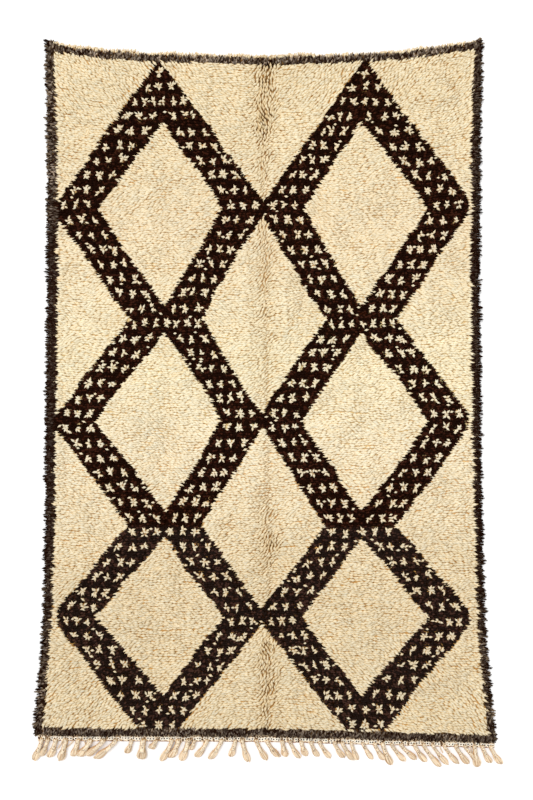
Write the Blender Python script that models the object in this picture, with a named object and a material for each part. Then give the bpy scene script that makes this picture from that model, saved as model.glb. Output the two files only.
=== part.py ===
"""A beni ourain rug: hand-knotted wool pile with a knotted warp fringe, lying flat.

The rug lies in the XY plane with its underside at Z = 0 and its pile up. +Y runs
to the plain end and -Y to the fringed end. Two pieces: the piled cloth, whose
edge tufts stand out as locks, and the woven end strip with its fringe.
"""

import math
import random

import bmesh
import bpy
from mathutils import Vector, noise

MM = 0.001

# The piled cloth, in metres.
PILE_HEIGHT = 22 * MM  # mean level of the pile's top
RIM_HEIGHT = 13 * MM  # height of the pile's wall at the rug's edge
SHOULDER = 15 * MM  # how far in from the edge the pile reaches its full height
HALF_COLUMNS = 15  # cells from a long side to the parting down the middle
ROWS = 50  # cells from the fringed end to the plain end
EDGE_WAVER = 2.5 * MM  # how far the hand-beaten edges wander
EDGE_WAVER_SPAN = 0.16  # along this length
LEFT_EDGE, RIGHT_EDGE, PLAIN_EDGE = 1.0, 2.0, 3.0  # each edge wanders in its own way
LUMP_SPAN = 0.105  # size of the lumps in the pile
LUMP_RISE = 7 * MM
LUMP_LAYER = 5.0  # which slice of the noise shapes the lumps

# Where the cloth's long sides run, from the fringed end to the plain end: y, left x, right x.
LONG_SIDES = (
    (-1.270, -0.830, 0.836),
    (-1.090, -0.816, 0.818),
    (-0.940, -0.804, 0.804),
    (-0.730, -0.794, 0.791),
    (-0.440, -0.789, 0.784),
    (-0.150, -0.788, 0.778),
    (0.150, -0.785, 0.778),
    (0.510, -0.782, 0.775),
    (0.870, -0.783, 0.777),
    (1.160, -0.786, 0.782),
    (1.300, -0.786, 0.786),
)

# The plain end draws in towards its middle: x, y.
PLAIN_END = (
    (-0.800, 1.291),
    (-0.740, 1.280),
    (-0.600, 1.260),
    (-0.450, 1.248),
    (-0.230, 1.241),
    (-0.010, 1.235),
    (0.200, 1.240),
    (0.350, 1.245),
    (0.500, 1.253),
    (0.640, 1.273),
    (0.790, 1.292),
)

# The fringed end is straight but for a slight turn at the parting's foot: x, y.
FRINGED_END = ((-0.840, -1.236), (0.014, -1.240), (0.840, -1.262))

# The pile parts along the middle, where the rug lay folded: y, x of the parting.
PARTING = ((-1.260, 0.014), (-0.700, 0.018), (0.000, 0.010), (0.700, 0.002), (1.260, 0.000))
PARTING_DEPTH = 5 * MM
PARTING_HALF_WIDTH = 14 * MM

# Short breaks across the pile: x, y, half its length, depth.
BREAKS = (
    (0.270, 0.300, 0.130, 4.0 * MM),
    (0.120, -0.540, 0.110, 3.5 * MM),
    (-0.520, -0.980, 0.180, 3.5 * MM),
    (0.620, 0.900, 0.120, 3.0 * MM),
    (-0.560, 0.560, 0.120, 3.0 * MM),
    (0.560, -0.850, 0.140, 3.0 * MM),
)
BREAK_HALF_WIDTH = 26 * MM

# Tufts that stand out from the rim as locks.
SIDE_BEYOND = 0.75  # a wall further out than this, left or right, is on a long side
END_BEYOND = 1.22  # a wall further up than this is on the plain end
RIM_SPLITS = 4  # parts of a cell's edge: lock, space, lock, space
LOCK_STEP = 2  # from one lock to the next, in such parts
RIM_SEED = 4
LOCK_REACH = (8 * MM, 17 * MM)  # shortest and longest lock on a long side
END_LOCK_REACH = (5 * MM, 9 * MM)
LOCK_SWEEP = 5 * MM  # how far a lock's tip strays along the edge
LOCK_TIP_WIDTH = 4.5 * MM
LOCK_TIP_HEIGHT = 4 * MM

# The woven strip at the fringed end.
CLEARANCE = 0.3 * MM  # between the cloth's edge and the strip
STRIP_WIDTH = 16 * MM
STRIP_THICKNESS = 4 * MM
STRIP_ENDS = (-0.824, 0.840)

# Groups of fringe locks, left to right: first root x, last root x, how many,
# sideways lean of the first and of the last, how far they reach.
FRINGE_GROUPS = (
    (-0.809, -0.758, 3, -0.026, -0.024, 0.066),
    (-0.722, -0.541, 5, -0.022, -0.066, 0.064),
    (-0.482, -0.395, 3, -0.014, -0.016, 0.052),
    (-0.336, -0.253, 4, -0.034, -0.020, 0.058),
    (-0.208, -0.105, 3, -0.040, -0.016, 0.064),
    (-0.079, 0.011, 3, 0.022, 0.040, 0.072),
    (0.067, 0.203, 5, 0.018, 0.034, 0.061),
    (0.257, 0.319, 3, 0.030, 0.024, 0.063),
    (0.361, 0.432, 3, 0.032, 0.032, 0.072),
    (0.465, 0.499, 2, 0.046, 0.050, 0.064),
    (0.549, 0.826, 9, 0.050, 0.034, 0.074),
)
FRINGE_ROOT_WIDTH = 8 * MM
REACH_SPREAD = 6 * MM  # how much the reach of neighbours differs
FRINGE_BEND = 1.4  # 1 leans straight from the root, more bends further down
FRINGE_SEED = 11

# A fringe lock from root to tip: share of its length, width, height.
LOCK_RINGS = (
    (0.10, 6.5 * MM, 4.5 * MM),
    (0.50, 6.0 * MM, 5.0 * MM),
    (0.58, 10.5 * MM, 8.5 * MM),
    (0.66, 8.0 * MM, 5.5 * MM),
    (0.86, 17.0 * MM, 6.0 * MM),
    (1.00, 9.0 * MM, 3.5 * MM),
)

# name, colour, roughness of each piece's wool
WOOLS = {
    "rug": ((0.78, 0.64, 0.42, 1.0), 0.95),
    "fringe": ((0.72, 0.57, 0.38, 1.0), 0.9),
}


def read_at(table, place, column=1):
    """A column of a table at a place along its first column, straight from row to row."""
    for low, high in zip(table, table[1:]):
        if place <= high[0] or high is table[-1]:
            share = (place - low[0]) / (high[0] - low[0])
            return low[column] + share * (high[column] - low[column])
    return table[0][column]


def waver(along, edge):
    """How far one of the edges wanders at a place along it."""
    return EDGE_WAVER * noise.noise(Vector((along / EDGE_WAVER_SPAN, edge, 0.0)))


def spaced(start, end, first, last, cells):
    """Points from start to end: a cell of its own width at each end, even ones between."""
    even = (end - start - first - last) / (cells - 2)
    inner = [start + first + even * step for step in range(cells - 1)]
    return [start, *inner, end]


def pile_top(x, y):
    """Height of the pile's top: lumps, the parting down the middle, short breaks across."""
    lumps = noise.noise(Vector((x / LUMP_SPAN, y / LUMP_SPAN, LUMP_LAYER)))
    off_parting = (x - read_at(PARTING, y)) / PARTING_HALF_WIDTH
    height = PILE_HEIGHT + LUMP_RISE * lumps - PARTING_DEPTH * math.exp(-(off_parting**2))
    for break_x, break_y, half_length, depth in BREAKS:
        along = (x - break_x) / half_length
        across = (y - break_y) / BREAK_HALF_WIDTH
        height -= depth * math.exp(-(along**4) - across**2)
    return height


def plan_of_cloth():
    """Flat grid in the cloth's outline, with its middle column on the parting."""
    columns = 2 * HALF_COLUMNS
    bm = bmesh.new()
    bmesh.ops.create_grid(bm, x_segments=columns, y_segments=ROWS, size=0.5)
    lowest = FRINGED_END[-1][1]
    highest = PLAIN_END[-1][1]
    for point in bm.verts:
        column = round((point.co.x + 0.5) * columns)
        row = round((point.co.y + 0.5) * ROWS)
        rough_y = lowest + (highest - lowest) * row / ROWS
        left = read_at(LONG_SIDES, rough_y, 1) + waver(rough_y, LEFT_EDGE)
        right = read_at(LONG_SIDES, rough_y, 2) + waver(rough_y, RIGHT_EDGE)
        middle = read_at(PARTING, rough_y)
        cell = PARTING_HALF_WIDTH
        half = spaced(left, middle, SHOULDER, cell, HALF_COLUMNS)
        other_half = spaced(middle, right, cell, SHOULDER, HALF_COLUMNS)
        x = (half + other_half[1:])[column]
        low = read_at(FRINGED_END, x)
        high = read_at(PLAIN_END, x) + waver(x, PLAIN_EDGE)
        point.co = (x, spaced(low, high, SHOULDER, SHOULDER, ROWS)[row], 0.0)
    return bm


def rim_edges(bm, axis):
    """The plan's outer edges that run along an axis, but for the short ones at its corners."""
    found = []
    for edge in bm.edges:
        start, end = (point.co for point in edge.verts)
        if edge.is_boundary and abs(start[axis] - end[axis]) > 2 * SHOULDER:
            found.append(edge)
    return found


def split_rim(bm):
    """Splits the rim's edges, so that locks can stand out side by side."""
    long_sides = rim_edges(bm, 1)
    plain_end = [edge for edge in rim_edges(bm, 0) if edge.verts[0].co.y > END_BEYOND]
    bmesh.ops.bisect_edges(bm, edges=long_sides + plain_end, cuts=RIM_SPLITS - 1, edge_percents={})


def raise_pile(bm):
    """Makes the flat plan a slab with a flat underside and a lumpy top."""
    rim = {point for point in bm.verts if point.is_boundary}
    rim_places = {(round(point.co.x, 6), round(point.co.y, 6)) for point in rim}
    made = bmesh.ops.extrude_face_region(bm, geom=bm.faces[:])
    for point in made["geom"]:
        if not isinstance(point, bmesh.types.BMVert):
            continue
        x, y, _ = point.co
        top = pile_top(x, y)
        on_rim = (round(x, 6), round(y, 6)) in rim_places
        point.co.z = top - (PILE_HEIGHT - RIM_HEIGHT) if on_rim else top


def walls(bm):
    """The slab's upright faces."""
    found = []
    for face in bm.faces:
        grounded = [point for point in face.verts if point.co.z == 0.0]
        if len(face.verts) == 4 and len(grounded) == 2:
            found.append(face)
    return found


def draw_out_lock(face, outward, reach, sweep):
    """Tapers a face drawn out of the wall to a lock's tip that rests level on the floor."""
    centre = face.calc_center_median()
    for point in face.verts:
        from_centre = point.co - centre
        from_centre.z = 0.0
        narrow = from_centre.normalized() * LOCK_TIP_WIDTH / 2
        height = LOCK_TIP_HEIGHT if point.co.z > 0.0 else 0.0
        tip = centre + narrow + outward * reach + sweep
        point.co = (tip.x, tip.y, height)


def add_rim_locks(bm, chance):
    """Locks along the long sides and the plain end, none on the corners' own walls."""
    middles = [(face, face.calc_center_median()) for face in walls(bm)]
    left = [face for face, middle in middles if middle.x < -SIDE_BEYOND and lies_along(face, 1)]
    right = [face for face, middle in middles if middle.x > SIDE_BEYOND and lies_along(face, 1)]
    plain = [face for face, middle in middles if middle.y > END_BEYOND and lies_along(face, 0)]
    left.sort(key=by_y)
    right.sort(key=by_y)
    plain.sort(key=by_x)
    edges = (
        (left[1:-1:LOCK_STEP], 1, Vector((-1, 0, 0)), LOCK_REACH),
        (right[1:-1:LOCK_STEP], 1, Vector((1, 0, 0)), LOCK_REACH),
        (plain[1:-1:LOCK_STEP], 0, Vector((0, 1, 0)), END_LOCK_REACH),
    )
    for chosen, axis, outward, reaches in edges:
        drawn = bmesh.ops.extrude_discrete_faces(bm, faces=chosen)
        for face in drawn["faces"]:
            sweep = Vector((0.0, 0.0, 0.0))
            sweep[axis] = chance.uniform(-LOCK_SWEEP, LOCK_SWEEP)
            draw_out_lock(face, outward, chance.uniform(*reaches), sweep)


def by_x(face):
    return face.calc_center_median().x


def by_y(face):
    return face.calc_center_median().y


def wall_run(face, axis):
    """Length of a wall along an axis."""
    places = [point.co[axis] for point in face.verts]
    return max(places) - min(places)


def lies_along(face, axis):
    return wall_run(face, axis) > wall_run(face, 1 - axis)


def merge_underside(bm):
    """One flat face under the whole rug."""
    under = [face for face in bm.faces if all(point.co.z == 0.0 for point in face.verts)]
    bmesh.ops.dissolve_faces(bm, faces=under)


def rug_mesh():
    bm = plan_of_cloth()
    split_rim(bm)
    raise_pile(bm)
    merge_underside(bm)
    add_rim_locks(bm, random.Random(RIM_SEED))
    return bm


def lock_plans():
    """Each fringe lock as root x, sideways lean and reach, left to right."""
    chance = random.Random(FRINGE_SEED)
    plans = []
    for first, last, count, first_lean, last_lean, reach in FRINGE_GROUPS:
        for step in range(count):
            share = step / (count - 1)
            root = first + share * (last - first)
            lean = first_lean + share * (last_lean - first_lean)
            plans.append((root, lean, reach + chance.uniform(-REACH_SPREAD, REACH_SPREAD)))
    return plans


def strip_mesh(plans):
    """The woven strip, cut across at each lock's two sides."""
    half_root = FRINGE_ROOT_WIDTH / 2
    cuts = {STRIP_ENDS[0], STRIP_ENDS[1], FRINGED_END[1][0]}
    for root, _, _ in plans:
        cuts |= {root - half_root, root + half_root}
    cuts = sorted(cuts)
    bm = bmesh.new()
    bmesh.ops.create_grid(bm, x_segments=len(cuts) - 1, y_segments=1, size=0.5)
    for point in bm.verts:
        x = cuts[round((point.co.x + 0.5) * (len(cuts) - 1))]
        y = read_at(FRINGED_END, x) - CLEARANCE
        if point.co.y < 0.0:
            y -= STRIP_WIDTH
        point.co = (x, y, 0.0)
    made = bmesh.ops.extrude_face_region(bm, geom=bm.faces[:])
    for point in made["geom"]:
        if isinstance(point, bmesh.types.BMVert):
            point.co.z = STRIP_THICKNESS
    return bm


def place_on_lock(root, lean, reach, share):
    """A fringe lock's centre line: straight out of the strip, then bending aside."""
    strip_edge = read_at(FRINGED_END, root) - CLEARANCE - STRIP_WIDTH
    return Vector((root + lean * share**FRINGE_BEND, strip_edge - reach * share, 0.0))


def add_fringe_lock(bm, wall, root, lean, reach):
    """Draws one four-sided lock out of the strip's wall, ring by ring."""
    face = wall
    start = place_on_lock(root, lean, reach, 0.0)
    for share, width, height in LOCK_RINGS:
        centre = place_on_lock(root, lean, reach, share)
        run = (centre - start).normalized()
        start = centre
        across = Vector((-run.y, run.x, 0.0)) * width / 2
        middle_x = face.calc_center_median().x
        face = bmesh.ops.extrude_discrete_faces(bm, faces=[face])["faces"][0]
        for point in face.verts:
            side = 1.0 if point.co.x > middle_x else -1.0
            level = height if point.co.z > 0.0 else 0.0
            point.co = centre + side * across + Vector((0.0, 0.0, level))


def fringe_mesh():
    plans = lock_plans()
    bm = strip_mesh(plans)
    outer = [face for face in walls(bm) if lies_along(face, 0) and faces_fringe(face)]
    for root, lean, reach in plans:
        wall = min(outer, key=lambda face: abs(face.calc_center_median().x - root))
        outer.remove(wall)
        add_fringe_lock(bm, wall, root, lean, reach)
    return bm


def faces_fringe(face):
    """True on the strip's outer walls, those away from the cloth."""
    middle = face.calc_center_median()
    return middle.y < read_at(FRINGED_END, middle.x) - STRIP_WIDTH / 2


def wool(name):
    """The wool of one piece."""
    colour, roughness = WOOLS[name]
    material = bpy.data.materials.new(name + "_wool")
    material.use_nodes = True
    shader = material.node_tree.nodes["Principled BSDF"]
    shader.inputs["Base Color"].default_value = colour
    shader.inputs["Roughness"].default_value = roughness
    shader.inputs["Metallic"].default_value = 0.0
    material.diffuse_color = colour
    return material


def add_piece(name, bm, collection):
    """Turns a finished bmesh into a named object."""
    bmesh.ops.triangulate(bm, faces=bm.faces[:], ngon_method="BEAUTY")
    bmesh.ops.recalc_face_normals(bm, faces=bm.faces[:])
    mesh = bpy.data.meshes.new(name)
    bm.to_mesh(mesh)
    bm.free()
    piece = bpy.data.objects.new(name, mesh)
    piece.data.materials.append(wool(name))
    collection.objects.link(piece)
    return piece


def clear_scene():
    for old in list(bpy.data.objects):
        bpy.data.objects.remove(old, do_unlink=True)


def build():
    clear_scene()
    collection = bpy.data.collections.new("beni_ourain_rug")
    bpy.context.scene.collection.children.link(collection)
    add_piece("rug", rug_mesh(), collection)
    add_piece("fringe", fringe_mesh(), collection)


build()
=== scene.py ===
"""The looks of a beni ourain rug, laid flat and seen from straight above.

Everything is in metres, with the rug's underside on the floor at Z = 0, +Y towards its
plain end and -Y towards its fringe. The pile is some fifty-eight thousand wool tufts,
knotted row by row onto a woven ground, and each takes its yarn from a chart of the lattice.
"""

import math
import random
from types import SimpleNamespace

import bpy
import numpy as np
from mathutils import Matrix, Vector, noise
from mathutils.bvhtree import BVHTree


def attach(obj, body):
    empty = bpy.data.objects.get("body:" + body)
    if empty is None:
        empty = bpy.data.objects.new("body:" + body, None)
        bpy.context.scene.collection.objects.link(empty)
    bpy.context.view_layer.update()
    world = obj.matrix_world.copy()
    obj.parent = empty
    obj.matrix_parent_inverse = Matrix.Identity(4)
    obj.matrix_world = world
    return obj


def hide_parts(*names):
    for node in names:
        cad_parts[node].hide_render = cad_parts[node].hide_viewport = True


MM = 0.001
NEAR_ZERO = 1e-6

# The layers of the patchy noise, one for each thing that it makes uneven.
PALE_LAYER, TINT_LAYER, SIDE_LAYER = 31, 32, 34
LEAN_X_LAYER, LEAN_Y_LAYER, BREAK_LAYER, PARTING_LAYER, WEAR_LAYER = 41, 42, 43, 44, 45
ROW_LAYER, COMB_LAYER = 46, 47
LINE_LAYER, LINE_WIDTH_LAYER = 61, 62
NOISE_CELLS = 64

# ---------------------------------------------------------------- the cloth's outline

# Where the long sides run: y, left x, right x.
LONG_SIDES = (
    (-1.270, -0.829, 0.836),
    (-1.090, -0.813, 0.818),
    (-0.940, -0.800, 0.804),
    (-0.730, -0.790, 0.791),
    (-0.440, -0.785, 0.784),
    (-0.150, -0.785, 0.778),
    (0.150, -0.781, 0.778),
    (0.510, -0.778, 0.775),
    (0.870, -0.779, 0.777),
    (1.160, -0.783, 0.782),
    (1.300, -0.785, 0.786),
)

# The plain end draws in towards its middle: x, y.
PLAIN_END = (
    (-0.790, 1.300),
    (-0.760, 1.284),
    (-0.740, 1.280),
    (-0.600, 1.260),
    (-0.450, 1.248),
    (-0.230, 1.241),
    (-0.010, 1.235),
    (0.200, 1.240),
    (0.350, 1.245),
    (0.500, 1.253),
    (0.640, 1.273),
    (0.750, 1.286),
    (0.785, 1.302),
)

# The fringed end: x, y.
FRINGED_END = ((-0.840, -1.236), (0.014, -1.240), (0.840, -1.262))

# The pile parts along the middle, where the rug lay folded: y, x.
PARTING = ((-1.260, 0.014), (-0.700, 0.018), (0.000, 0.010), (0.700, 0.002), (1.260, 0.000))
# How worn the pile is along it: y, share.
PARTING_WEAR = (
    (-1.200, 0.7), (-0.900, 0.7), (-0.820, 0.2), (-0.640, 0.2), (-0.540, 0.7), (-0.440, 0.5),
    (-0.360, 0.2), (0.180, 0.2), (0.240, 0.35), (0.400, 0.4), (0.560, 0.5), (0.700, 0.3),
    (0.880, 0.5), (0.980, 1.0), (1.210, 1.0),
)
PARTING_HALF_WIDTH = 40 * MM
PARTING_WAVER, PARTING_WAVER_SPAN = 8 * MM, 0.09
WEAR_MEAN, WEAR_SPREAD, WEAR_SPAN = 0.75, 0.5, 0.03  # how patchy the wear is

# Short breaks across the pile: x, y, half its length, how far its tufts lean apart.
BREAKS = (
    (0.270, 0.300, 0.130, 2.5 * MM),
    (0.120, -0.540, 0.110, 2.5 * MM),
    (-0.520, -0.980, 0.180, 2.5 * MM),
    (0.620, 0.900, 0.120, 2.0 * MM),
    (-0.560, 0.560, 0.120, 2.0 * MM),
    (0.560, -0.850, 0.140, 2.0 * MM),
    (0.350, -0.060, 0.090, 2.0 * MM),
    (-0.360, -0.840, 0.200, 2.5 * MM),
)
BREAK_HALF_WIDTH = 10 * MM
BREAK_WAVER, BREAK_WAVER_SPAN = 6 * MM, 0.05

EDGE_WAVER = 2.5 * MM  # how far the hand-beaten edges wander
EDGE_WAVER_SPAN = 0.16
LEFT_EDGE, RIGHT_EDGE, PLAIN_EDGE = 1.0, 2.0, 3.0
EDGE_SAMPLES, EDGE_REACH = 400, 1.4

# ---------------------------------------------------------------- the lattice's chart

# Two chains of three diamonds, laid out from these: heights along Y, places along X.
CHAIN_MIDDLES = (-0.38, 0.37)
CHAIN_ENDS = (-1.21, 1.21)
END_HALVES = (0.07, 0.01)  # half a chain's width at its two ends
BELLIES = (-0.80, -0.09, 0.68)  # where its diamonds are widest
BELLY_HALF = 0.375
BELLY_BLUNT = 0.025  # half the length of its blunt corners
WAISTS = (-0.47, 0.28)
WAIST_HALF = 0.13
WAIST_IN = 0.02  # the waists lie this much nearer to the rug's middle
DIAMOND_ENDS = (-1.09, 0.99)  # the plain diamonds within, from the first one's tip to the last's
DIAMOND_GAP = 0.045  # from a waist to the tips beside it
DIAMOND_HALF = 0.23
SIDE_WAVER, SIDE_WAVER_SPAN = 8 * MM, 0.13  # how unevenly a hand keeps to the lines


def chain_side(middle, side):
    """One side of a chain, corner by corner from the fringed end: y, x."""
    corners = [(CHAIN_ENDS[0], middle + side * END_HALVES[0])]
    waist = middle - math.copysign(WAIST_IN, middle) + side * WAIST_HALF
    for number, height in enumerate(BELLIES):
        for blunt in (-BELLY_BLUNT, BELLY_BLUNT):
            corners.append((height + blunt, middle + side * BELLY_HALF))
        if number < len(WAISTS):
            corners.append((WAISTS[number], waist))
    corners.append((CHAIN_ENDS[1], middle + side * END_HALVES[1]))
    return corners


def plain_diamonds(middle):
    """The plain diamonds inside a chain: left side, then right side, of each."""
    lows = [DIAMOND_ENDS[0]] + [height + DIAMOND_GAP for height in WAISTS]
    highs = [height - DIAMOND_GAP for height in WAISTS] + [DIAMOND_ENDS[1]]
    tip = middle - math.copysign(WAIST_IN, middle)
    return [
        [[(low, tip), (belly, middle + side * DIAMOND_HALF), (high, tip)] for side in (-1, 1)]
        for low, belly, high in zip(lows, BELLIES, highs)
    ]


CHAIN_SIDES = [[chain_side(middle, side) for side in (-1, 1)] for middle in CHAIN_MIDDLES]
DIAMONDS = [plain_diamonds(middle) for middle in CHAIN_MIDDLES]

# Rows of cream spots lie evenly up each chain, from the first to the last.
SPOT_ROW_ENDS = (-1.185, 1.168)
ROW_COUNT = 45
SPOTS_ACROSS = 3  # between an outer side and the diamond within
ROW_CELLS = 16  # room for a row's spots, half of them on each side of a diamond
# From one spot to the next where a row runs across from side to side: y, pitch.
SPOT_PITCHES = ((-0.440, 48 * MM), (-0.300, 38 * MM))
OUTER_MARGIN = 13 * MM  # dark beside a chain's outer side
INNER_MARGIN = 18 * MM  # dark beside a plain diamond
DIAMOND_REACH = 18 * MM  # rows this far past a diamond's tip still part round it
SPOT_HALF_WIDTH = 0.21  # as a share of its cell
# The shapes of spots: how wide each is in three rows of knots, from its lowest.
SPOT_SHAPES = (
    (1.00, 0.50, 1.00),
    (0.45, 1.00, 0.45),
    (1.00, 0.90, 0.45),
    (0.45, 0.90, 1.00),
    (0.80, 0.80, 0.80),
    (0.45, 0.80, 0.90),
)
SPOT_SPREAD = 0.20  # how much spots differ in size
SPOT_SHIFT = 0.08  # how far they stray in their cells
SPOT_SHEAR = (0.75, 0.15)  # how far end spots and middle spots slant with the band
STRAY_KNOTS = 0.012  # share of the lattice's knots that took the other yarn

# Dark borders: y, the left one's width, the right one's; and the widths of the ends'.
BORDER_WIDTHS = ((-1.000, 22 * MM, 20 * MM), (-0.400, 27 * MM, 21 * MM), (0.200, 31 * MM, 25 * MM),
                 (0.900, 30 * MM, 25 * MM), (1.200, 26 * MM, 24 * MM))
BORDER_PLAIN, BORDER_FRINGED = 35 * MM, 34 * MM
PLAIN_SELVAGE = 8 * MM  # cream woven end beyond the plain end's border

CREAM, LATTICE, BORDER = 0, 1, 2

# ---------------------------------------------------------------- knots and their strands

KNOT_COLUMNS = 250  # the lattice and borders have them all, the plain pile every other one
KNOT_ROWS = 322
CHART_LEAN = 0.95  # the chart is read this far along a tuft's lean
KNOT_JITTER = (2.4 * MM, 1.9 * MM)
ROW_SHIFT = 0.5  # of a row against the next, as a share of a knot
ROW_WAVER, ROW_WAVER_SPAN = 4.5 * MM, 0.04  # how far a row wanders, and over what length
ROOT_Z = 2.5 * MM
TIP_SPREAD = 1.0 * MM  # how much the tips' heights differ
TIP_RANGE = (-1, 0.6)
SHOULDER = 13 * MM  # the pile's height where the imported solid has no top
RAY_FROM = 0.2  # the height from which its top is felt
# The pile lies smoother along the middle: y, share of those differences.
ROUGHNESS = ((-1.25, 1.0), (-0.60, 0.95), (-0.15, 0.3), (0.30, 0.3), (0.70, 0.55), (1.25, 1.1))
LEAN_PATCH = 3 * MM  # lean that neighbours share
LEAN_PATCH_SPAN = 0.05
COMB = (1 * MM, 3 * MM)  # tufts lie along the rows, either way
COMB_SWING = math.radians(20)  # and in patches this far off them
COMB_SWING_SPAN = 0.10
COMB_OWN = math.radians(8)
END_SWINGS = (math.radians(34), math.radians(40))  # they fan out to the corners of each end
END_SWING_FROM, END_SWING_REACH = 0.75, 0.50
END_SWING_ACROSS = 0.25
LEAN_OWN = 0.8 * MM  # lean of each tuft's own
LEAN_OUT = 6 * MM  # away from the rug's middle
LEAN_OUT_REACH = 0.5
LEAN_RIM = 5 * MM  # out over the long sides
LEAN_PLAIN_RIM, LEAN_FRINGED_RIM = -1 * MM, -10 * MM  # and over the ends
RIM_REACH = 34 * MM
RIM_KNOTS = 9 * MM  # knots this near the edge lie down
RIM_TIPS = (4 * MM, 12 * MM)  # and their tips are at these heights
SIDE_CALM = 0.7  # how much less a long side's knots splay lengthwise
WEAR_AND_PAINTED_SHADE = np.array((0.24, 0.37, 0.57))  # how much darker worn knots can be: partly wear, partly painted shade of the parted pile
WEAR_DROP = 2 * MM  # and how much lower their tips
PARTING_TURN = 1.8  # how soon worn knots lie lengthwise
PARTING_SLIM, PARTING_SHORT = 0.35, 0.30  # how much narrower and shorter worn tufts can be
RING_HEIGHT = (0.94, 0.975)  # where a tuft is thickest, as a share of its height
RING_BEND = 1.6
TUFT_LONG, TUFT_WIDE = (11.0 * MM, 16.0 * MM), (4.8 * MM, 6.0 * MM)  # half, where thickest
LATTICE_LONG, LATTICE_WIDE = (5.5 * MM, 8.0 * MM), (4.3 * MM, 5.3 * MM)
BORDER_LONG, BORDER_WIDE = (6.0 * MM, 10.0 * MM), (3.0 * MM, 4.0 * MM)
BAND_FROM = 1.195  # the end bands lie this far from the rug's middle
BAND_TURN, BAND_TURN_OWN = math.radians(80), 0.45  # and their tufts lie lengthwise
TUFT_DROOP = 0.9 * MM  # how far its two sides lie below its ends

# A spot's tufts lie as the rays of a star.
STAR_LONG, STAR_WIDE = (5.8 * MM, 9.0 * MM), (3.6 * MM, 4.8 * MM)
LONG_HALVES = (TUFT_LONG, LATTICE_LONG, BORDER_LONG, STAR_LONG)
WIDE_HALVES = (TUFT_WIDE, LATTICE_WIDE, BORDER_WIDE, STAR_WIDE)
STAR_OWN = 0.25
STAR_TALL = 0.3  # how much longer its upright rays are
SPOT_RAISE = 0.6  # how far a row counts against a spot's half width
SPOT_SPLAY = 1.6 * MM
SPOT_RISE = 1.5 * MM  # cream tufts stand over dyed ones
LATTICE_CALM = 0.55  # how much less the lattice's strands lean their own way

# The spikes at the long sides.
SPIKE_STRANDS = 8
SPIKE_REACH = (11 * MM, 27 * MM)  # from root to tip
SPIKE_ROOTS = (0 * MM, 8 * MM)  # roots lie this far in from the edge
SPIKE_HALF_WIDTH = 2.8 * MM
SPIKE_FAN = -0.8 * MM
SPIKE_TURN = 0.12  # slope of a spike's heading
SPIKE_OUTWARDS = 0.16  # how that slope grows towards the ends, for each metre
SPIKE_HEIGHTS = (5 * MM, 12 * MM)
SPIKE_DROOP = 0.6
SPIKE_RING = 0.66
SPIKE_RADIUS = (2.2 * MM, 3.0 * MM)
SPIKE_LENGTHS = (0.7, 1.1)  # of its strands, as shares of its reach
SPIKE_TAPER = 0.25  # how much shorter its outer strands are
RIM_SEED = 33

TUFT_SEED = 21
CHART_SEED = 8

# Painted shade: colour of a strand's wool at its root, at its ring and at its tip, as a share of its
# yarn's, darkest and warmest at the root.
STRAND_PAINTED_SHADES = ((0.52, 0.30, 0.10), (0.99, 0.905, 0.73), (0.96, 0.99, 1.06))

# Linear colours of the yarns.
CREAM_YARN = (0.770, 0.650, 0.460)
ESPRESSO_YARN = (0.0110, 0.0040, 0.0024)
CHARCOAL_YARN = (0.0150, 0.0086, 0.0070)
BORDER_YARN = (0.0175, 0.0058, 0.0032)
BORDER_PALE_YARN = (0.26, 0.205, 0.165)
# How pale the borders are: y, left, right; and the ends'.
BORDER_PALENESS = ((-1.25, 0.38, 0.34), (-0.90, 0.32, 0.26), (-0.60, 0.10, 0.07), (0.55, 0.09, 0.05),
                   (0.75, 0.42, 0.10), (1.25, 0.52, 0.22))
PLAIN_PALENESS, FRINGED_PALENESS = 0.55, 0.30
# The cream wool's shares of its red, green and blue, darker towards both ends, partly its own tone and
# partly painted shade: y, red, green, blue.
CREAM_TONE_AND_PAINTED_SHADE = ((-1.25, 0.90, 0.92, 0.92), (-0.70, 0.92, 0.935, 0.93), (-0.20, 1.03, 1.06, 1.06),
               (0.10, 1.05, 1.09, 1.05), (0.60, 1.01, 1.02, 1.00), (0.90, 1.00, 1.03, 1.02),
               (1.25, 0.99, 1.02, 1.02))
SPOT_TINT = (0.92, 0.935, 0.98)  # of the spots' wool
FLECK_SHARE, FLECK_SHADE = 0.30, (3.4, 2.8, 2.6)  # lattice knots that are paler, and how much
DYE_CHANGE_Y, DYE_CHANGE_SPAN = -0.470, 0.02  # below it the lattice is charcoal
PALE_SPREAD, PALE_SPAN = 0.6, 0.05  # how patchy the borders' paleness is
PALE_BOOST, PALE_POWER = 2.7, 2.2  # a few of their knots hold most of the undyed wool
TINT_OWN, TINT_SPREAD, TINT_SPAN = 0.045, 0.03, 0.11  # how unevenly all wool is dyed
WARM_OWN, WARM_GREEN = 0.05, 0.4  # how much warmer or colder, and green's share of that
PALEST_YARN, PALEST_STRAND = 0.95, 0.97

CREAM_PIECES = 4
DARK_PIECES = 2


def column_of(table, column):
    return np.array([row[column] for row in table])


def read_at(table, place, column=1):
    """A column of a table at places along its first column, straight from row to row."""
    return np.interp(place, column_of(table, 0), column_of(table, column))


def waver_table(low, high, edge):
    """How far an edge wanders: place along it, offset."""
    places = np.linspace(low, high, EDGE_SAMPLES)
    offsets = [noise.noise(Vector((p / EDGE_WAVER_SPAN, edge, 0.0))) for p in places]
    return np.stack((places, EDGE_WAVER * np.array(offsets)), axis=1)


WAVERS = {edge: waver_table(-EDGE_REACH, EDGE_REACH, edge) for edge in (LEFT_EDGE, RIGHT_EDGE, PLAIN_EDGE)}


def left_edge(y):
    return read_at(LONG_SIDES, y, 1) + read_at(WAVERS[LEFT_EDGE], y)


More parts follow.
